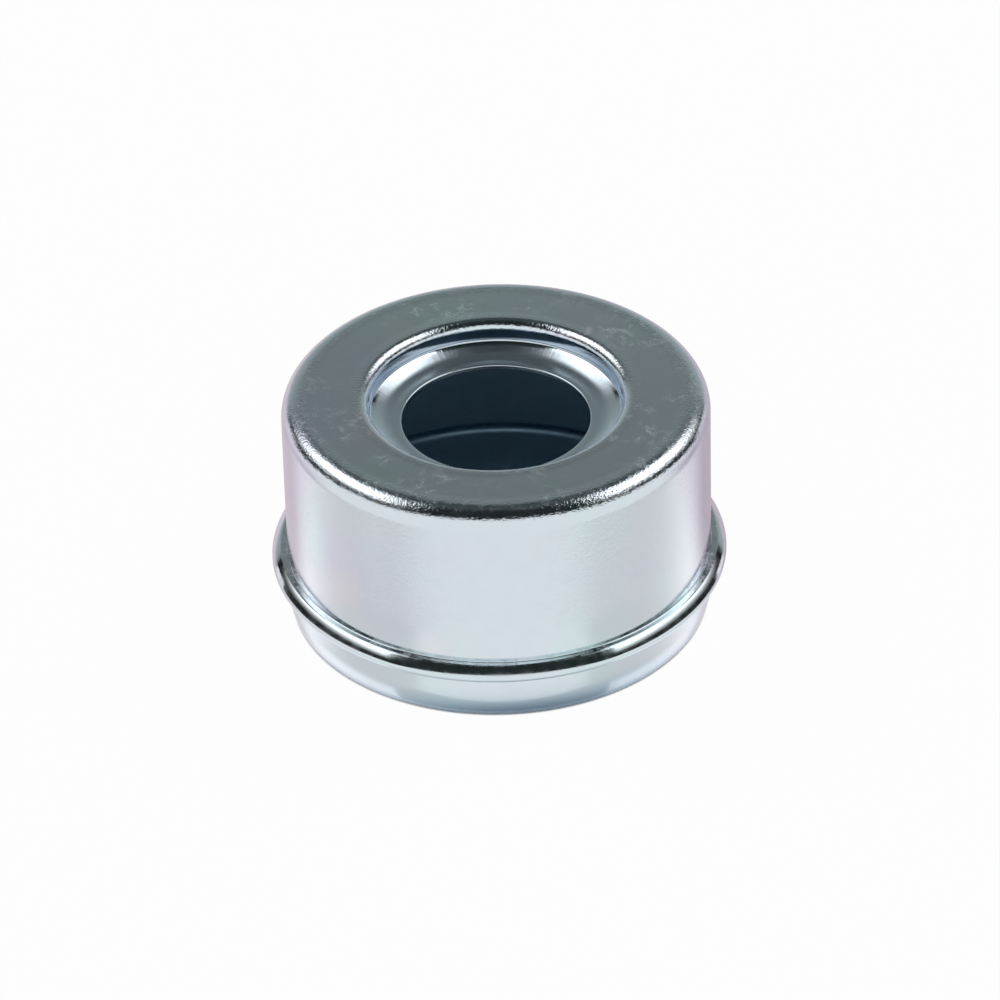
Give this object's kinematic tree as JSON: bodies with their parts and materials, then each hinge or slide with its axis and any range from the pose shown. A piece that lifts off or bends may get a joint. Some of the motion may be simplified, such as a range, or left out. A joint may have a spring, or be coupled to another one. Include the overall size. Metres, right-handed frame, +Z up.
{
  "type": "hub grease cap",
  "caption": "Pressed steel drive-in grease cap for a wheel hub, with a folded stop flange and a recessed seat and hole for a rubber plug.",
  "frame": {"origin": "centre of the open toe's rim, on the plane it stands on", "axes": "+Z up the cap's axis, from the open toe through the plug hole in the crown; the cap is the same all the way round Z"},
  "size_m": [0.0536, 0.0536, 0.0283],
  "materials": {
    "zinc_plated_steel": "bright zinc plate with a clear blue passivate, light handling marks on the crown"
  },
  "bodies": {
    "root": {"grease_cap": "zinc_plated_steel"}
  },
  "joints": []
}
